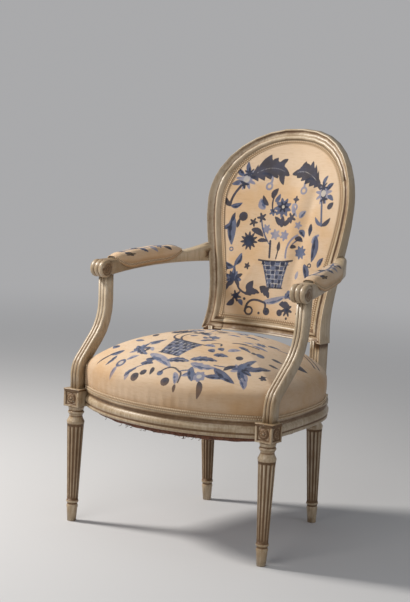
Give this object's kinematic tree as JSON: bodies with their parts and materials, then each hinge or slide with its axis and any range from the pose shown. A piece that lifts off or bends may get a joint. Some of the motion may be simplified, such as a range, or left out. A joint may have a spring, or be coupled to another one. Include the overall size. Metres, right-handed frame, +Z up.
{
  "type": "armchair",
  "caption": "Open armchair with a raked arched back, bowed seat, fluted tapering legs, scrolled arms on swept supports and stuffed seat, back and arm pads.",
  "frame": {"origin": "on the floor, under the middle of the chair's overall width and depth", "axes": "+Z up, -Y to the front, +X to the sitter's left"},
  "size_m": [0.5722, 0.594, 0.911],
  "materials": {
    "painted_beech": "aged cream and grey paint, rubbed at the edges",
    "bare_beech": "bare wood, darkened",
    "cover_cloth": "printed linen",
    "braid": "woven braid",
    "stuffing": "curled hair under wadding",
    "webbing": "woven jute",
    "base_cloth": "hessian",
    "bottom_cloth": "thin dark dust cloth"
  },
  "bodies": {
    "root": {"front_leg_left": "painted_beech", "front_leg_right": "painted_beech", "rear_leg_left": "painted_beech", "rear_leg_right": "painted_beech", "seat_side_rail_left": "painted_beech", "seat_side_rail_right": "painted_beech", "arm_support_left": "painted_beech", "arm_support_right": "painted_beech", "armrest_left": "painted_beech", "armrest_right": "painted_beech", "seat_front_rail": "painted_beech", "seat_rear_rail": "painted_beech", "back_crest_rail": "painted_beech", "back_lower_rail": "painted_beech", "corner_block_front_left": "bare_beech", "corner_block_front_right": "bare_beech", "corner_block_rear_left": "bare_beech", "corner_block_rear_right": "bare_beech", "seat_joint_pegs": "bare_beech", "seat_cover": "cover_cloth", "back_cover": "cover_cloth", "back_outside_cover": "cover_cloth", "arm_pad_cover_left": "cover_cloth", "arm_pad_cover_right": "cover_cloth", "seat_gimp": "braid", "back_gimp": "braid", "seat_stuffing": "stuffing", "back_stuffing": "stuffing", "arm_pad_stuffing_left": "stuffing", "arm_pad_stuffing_right": "stuffing", "seat_webbing_across": "webbing", "seat_webbing_along": "webbing", "back_webbing": "webbing", "seat_base_cloth": "base_cloth", "back_base_cloth": "base_cloth", "seat_bottom_cloth": "bottom_cloth"}
  },
  "joints": []
}
